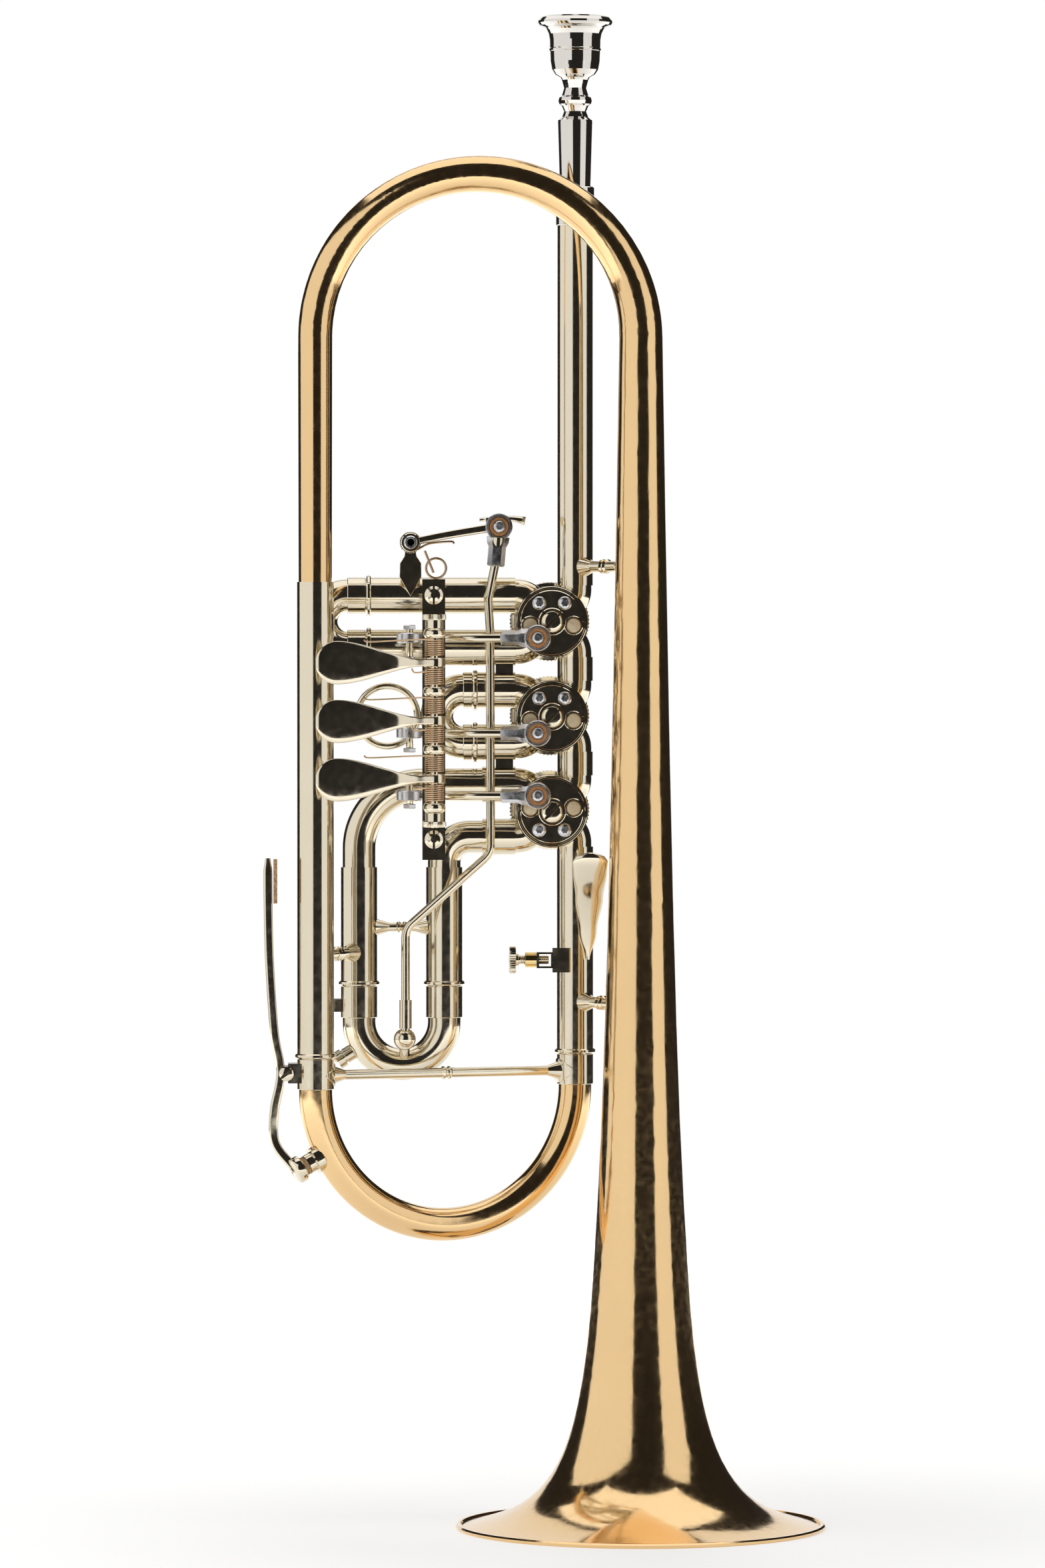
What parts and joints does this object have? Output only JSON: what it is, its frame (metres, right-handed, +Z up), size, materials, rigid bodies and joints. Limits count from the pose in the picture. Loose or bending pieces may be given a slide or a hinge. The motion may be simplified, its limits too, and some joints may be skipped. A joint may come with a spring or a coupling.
{
  "type": "rotary valve trumpet",
  "caption": "Rotary-valve trumpet with finger paddles, triggered third slide, tuning slides and mouthpiece, standing bell down.",
  "frame": {"origin": "centre of the bell mouth on the rim plane", "axes": "+Z up the bell axis towards the mouthpiece, -Y towards the finger paddles, +X from the bell-side tube to the bell"},
  "size_m": [0.202, 0.1328, 0.5451],
  "materials": {
    "gold_brass": "polished gold brass under clear lacquer",
    "nickel_silver": "polished nickel silver under pale gold lacquer",
    "silver_plate": "polished silver plate",
    "steel": "bright chromed steel",
    "spring_bronze": "drawn phosphor bronze wire",
    "bumper_rubber": "matt cream rubber",
    "cork": "matt cork",
    "bearing_bronze": "turned bronze"
  },
  "bodies": {
    "instrument": {"axle_nuts": "nickel_silver", "axle_posts": "nickel_silver", "bell": "gold_brass", "bell_braces": "nickel_silver", "bell_side_tube": "nickel_silver", "first_slide_tubes": "nickel_silver", "leadpipe": "nickel_silver", "lever_axle": "nickel_silver", "lever_rail": "nickel_silver", "lyre_holder": "nickel_silver", "mouthpiece_receiver": "silver_plate", "pinky_hook": "nickel_silver", "rail_pillars": "nickel_silver", "rail_screws": "nickel_silver", "rear_bearings": "bearing_bronze", "return_springs": "spring_bronze", "second_slide_tubes": "nickel_silver", "slide_spacers": "nickel_silver", "stop_bumpers": "bumper_rubber", "stop_plate_screws": "steel", "stop_plates": "nickel_silver", "third_slide_braces": "nickel_silver", "third_slide_crooks": "nickel_silver", "third_slide_tubes": "nickel_silver", "trigger_post": "nickel_silver", "valve_caps": "nickel_silver", "valve_casing_1": "nickel_silver", "valve_casing_2": "nickel_silver", "valve_casing_3": "nickel_silver", "valve_side_tube": "nickel_silver", "windway_ferrules": "nickel_silver"},
    "rotor_1": {"rotor_1": "bearing_bronze", "stop_arm_1": "nickel_silver"},
    "rotor_2": {"rotor_2": "bearing_bronze", "stop_arm_2": "nickel_silver"},
    "rotor_3": {"rotor_3": "bearing_bronze", "stop_arm_3": "nickel_silver"},
    "link_1": {"link_rod_1": "steel"},
    "link_2": {"link_rod_2": "steel"},
    "link_3": {"link_rod_3": "steel"},
    "paddle_1": {"paddle_1": "nickel_silver"},
    "paddle_2": {"paddle_2": "nickel_silver"},
    "paddle_3": {"paddle_3": "nickel_silver"},
    "first_slide": {"first_slide_legs": "nickel_silver", "first_slide_bow": "nickel_silver"},
    "second_slide": {"second_slide_legs": "nickel_silver", "second_slide_bow": "nickel_silver"},
    "third_slide": {"third_slide_legs": "nickel_silver", "third_slide_bow": "nickel_silver", "third_key_saddle": "nickel_silver", "trigger_rod": "nickel_silver"},
    "third_key": {"third_key_lever": "nickel_silver"},
    "main_slide": {"main_slide_legs": "nickel_silver", "main_slide_bow": "gold_brass", "water_key_saddle": "nickel_silver"},
    "water_key": {"water_key_lever": "nickel_silver", "water_key_pads": "cork"},
    "trigger": {"trigger_lever": "nickel_silver"},
    "lyre_screw": {"lyre_screw": "nickel_silver"},
    "mouthpiece": {"mouthpiece": "silver_plate"}
  },
  "joints": [
    {"name": "paddle_1_press", "type": "hinge", "parent": "instrument", "child": "paddle_1", "pos_m": [-0.0742, -0.008, 0.3112], "axis": [0, 0, -1], "range_deg": [0, 24], "stiffness_Nm_per_rad": 0.03, "springref_deg": -34.38},
    {"name": "rotor_1_turn", "type": "hinge", "parent": "instrument", "child": "rotor_1", "pos_m": [-0.0314, 0.032, 0.3258], "axis": [0, -1, 0], "range_deg": [0, 90]},
    {"name": "link_1_swing", "type": "hinge", "parent": "rotor_1", "child": "link_1", "pos_m": [-0.0368, 0.0082, 0.3199], "axis": [0, -1, 0], "range_deg": [-90, 0]},
    {"name": "paddle_2_press", "type": "hinge", "parent": "instrument", "child": "paddle_2", "pos_m": [-0.0742, -0.008, 0.2904], "axis": [0, 0, -1], "range_deg": [0, 24], "stiffness_Nm_per_rad": 0.03, "springref_deg": -34.38},
    {"name": "rotor_2_turn", "type": "hinge", "parent": "instrument", "child": "rotor_2", "pos_m": [-0.0314, 0.032, 0.2915], "axis": [0, -1, 0], "range_deg": [0, 90]},
    {"name": "link_2_swing", "type": "hinge", "parent": "rotor_2", "child": "link_2", "pos_m": [-0.0368, 0.0082, 0.2856], "axis": [0, -1, 0], "range_deg": [-90, 0]},
    {"name": "paddle_3_press", "type": "hinge", "parent": "instrument", "child": "paddle_3", "pos_m": [-0.0742, -0.008, 0.2696], "axis": [0, 0, -1], "range_deg": [0, 24], "stiffness_Nm_per_rad": 0.03, "springref_deg": -34.38},
    {"name": "rotor_3_turn", "type": "hinge", "parent": "instrument", "child": "rotor_3", "pos_m": [-0.0314, 0.032, 0.2572], "axis": [0, 1, 0], "range_deg": [0, 90]},
    {"name": "link_3_swing", "type": "hinge", "parent": "rotor_3", "child": "link_3", "pos_m": [-0.0368, 0.0082, 0.2631], "axis": [0, 1, 0], "range_deg": [-90, 0]},
    {"name": "first_slide_pull", "type": "slide", "parent": "instrument", "child": "first_slide", "axis": [-1, 0, 0], "range_m": [0, 0.025]},
    {"name": "second_slide_pull", "type": "slide", "parent": "instrument", "child": "second_slide", "axis": [-1, 0, 0], "range_m": [0, 0.008]},
    {"name": "main_slide_pull", "type": "slide", "parent": "instrument", "child": "main_slide", "axis": [0, 0, -1], "range_m": [0, 0.035]},
    {"name": "trigger_swing", "type": "hinge", "parent": "instrument", "child": "trigger", "pos_m": [-0.0823, 0.023, 0.3544], "axis": [0, 1, 0], "range_deg": [0, 20]},
    {"name": "third_slide_pull", "type": "slide", "parent": "instrument", "child": "third_slide", "axis": [0, 0, -1], "range_m": [0, 0.01125], "stiffness_N_per_m": 60, "springref_m": -0.02},
    {"name": "water_key_press", "type": "hinge", "parent": "main_slide", "child": "water_key", "pos_m": [-0.1273, 0, 0.1639], "axis": [0, 1, 0], "range_deg": [0, 5.2], "stiffness_Nm_per_rad": 0.08, "springref_deg": -28.65},
    {"name": "third_key_press", "type": "hinge", "parent": "third_slide", "child": "third_key", "pos_m": [-0.1105, 0.032, 0.1867], "axis": [0, 1, 0], "range_deg": [0, 8], "stiffness_Nm_per_rad": 0.03, "springref_deg": -28.65},
    {"name": "lyre_screw_turn", "type": "slide", "parent": "instrument", "child": "lyre_screw", "axis": [-1, 0, 0], "range_m": [0, 0.004]},
    {"name": "mouthpiece_pull", "type": "slide", "parent": "instrument", "child": "mouthpiece", "axis": [0, 0, 1], "range_m": [0, 0.03]}
  ],
  "couplings": [
    {"joint": "rotor_1_turn", "follows": "paddle_1_press", "ratio": 3.75},
    {"joint": "link_1_swing", "follows": "paddle_1_press", "ratio": -3.75},
    {"joint": "rotor_2_turn", "follows": "paddle_2_press", "ratio": 3.75},
    {"joint": "link_2_swing", "follows": "paddle_2_press", "ratio": -3.75},
    {"joint": "rotor_3_turn", "follows": "paddle_3_press", "ratio": 3.75},
    {"joint": "link_3_swing", "follows": "paddle_3_press", "ratio": -3.75},
    {"joint": "trigger_swing", "follows": "third_slide_pull", "rad_per_m": 31.02}
  ]
}
